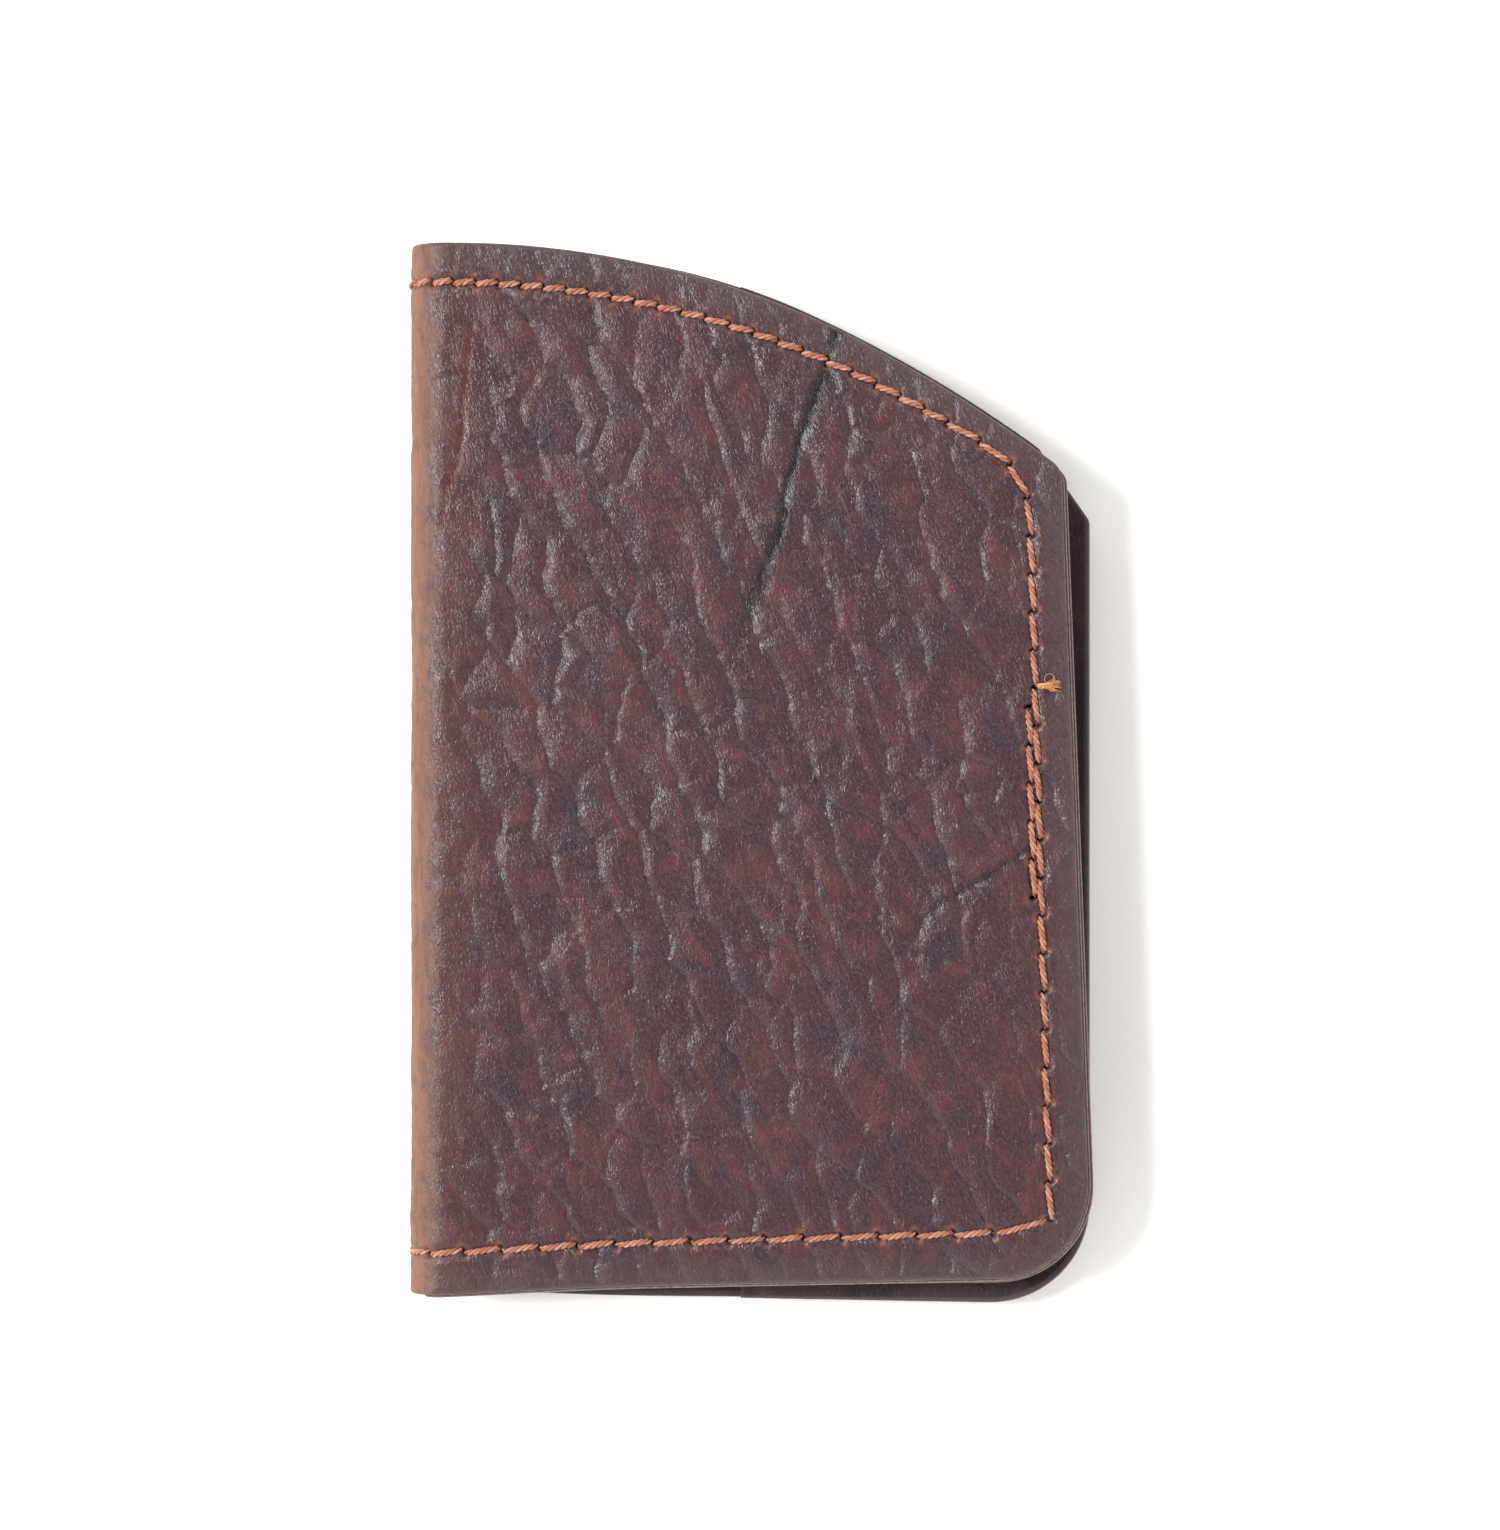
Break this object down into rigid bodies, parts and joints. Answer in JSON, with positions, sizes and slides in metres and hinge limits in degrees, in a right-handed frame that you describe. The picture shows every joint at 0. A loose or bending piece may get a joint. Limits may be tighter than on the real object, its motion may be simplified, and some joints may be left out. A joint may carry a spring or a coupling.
{
  "type": "business card case",
  "caption": "Leather bifold business card case that folds flat round a rolled spine, with a card pocket on each inner face and one stitched seam all round.",
  "frame": {"origin": "centre of the closed case's underside, at the middle of its overall width and height", "axes": "+Y up the case towards the curved top edge, +Z through the thickness from the back cover to the front cover, so +X runs from the spine to the free edge"},
  "size_m": [0.0778, 0.1217, 0.0128],
  "materials": {
    "outer_leather": "satin pebbled full grain, dark red-brown, pulled up to tan on the fold",
    "lining": "matt smooth leather, very dark brown",
    "pocket_leather": "satin smooth leather, very dark brown",
    "thread": "three-ply twisted thread, copper"
  },
  "bodies": {
    "back": {"back_outer_leather": "outer_leather", "back_lining": "lining", "back_card_pocket": "pocket_leather", "back_needle_thread": "thread", "back_bobbin_thread": "thread"},
    "spine": {"spine_outer_leather": "outer_leather", "spine_lining": "lining", "spine_top_needle_thread": "thread", "spine_top_bobbin_thread": "thread", "spine_bottom_needle_thread": "thread", "spine_bottom_bobbin_thread": "thread"},
    "front": {"front_outer_leather": "outer_leather", "front_lining": "lining", "front_card_pocket": "pocket_leather", "front_needle_thread": "thread", "front_bobbin_thread": "thread", "front_backtack_thread": "thread", "front_backtack_bobbin_thread": "thread", "front_thread_tail": "thread"}
  },
  "joints": [
    {"name": "back_fold", "type": "hinge", "parent": "back", "child": "spine", "pos_m": [-0.03809, 0, 0.00086], "axis": [0, -1, 0], "range_deg": [0, 90]},
    {"name": "front_fold", "type": "hinge", "parent": "spine", "child": "front", "pos_m": [-0.03809, 0, 0.01194], "axis": [0, -1, 0], "range_deg": [0, 90]}
  ],
  "couplings": [
    {"joint": "back_fold", "follows": "front_fold", "ratio": 1}
  ]
}
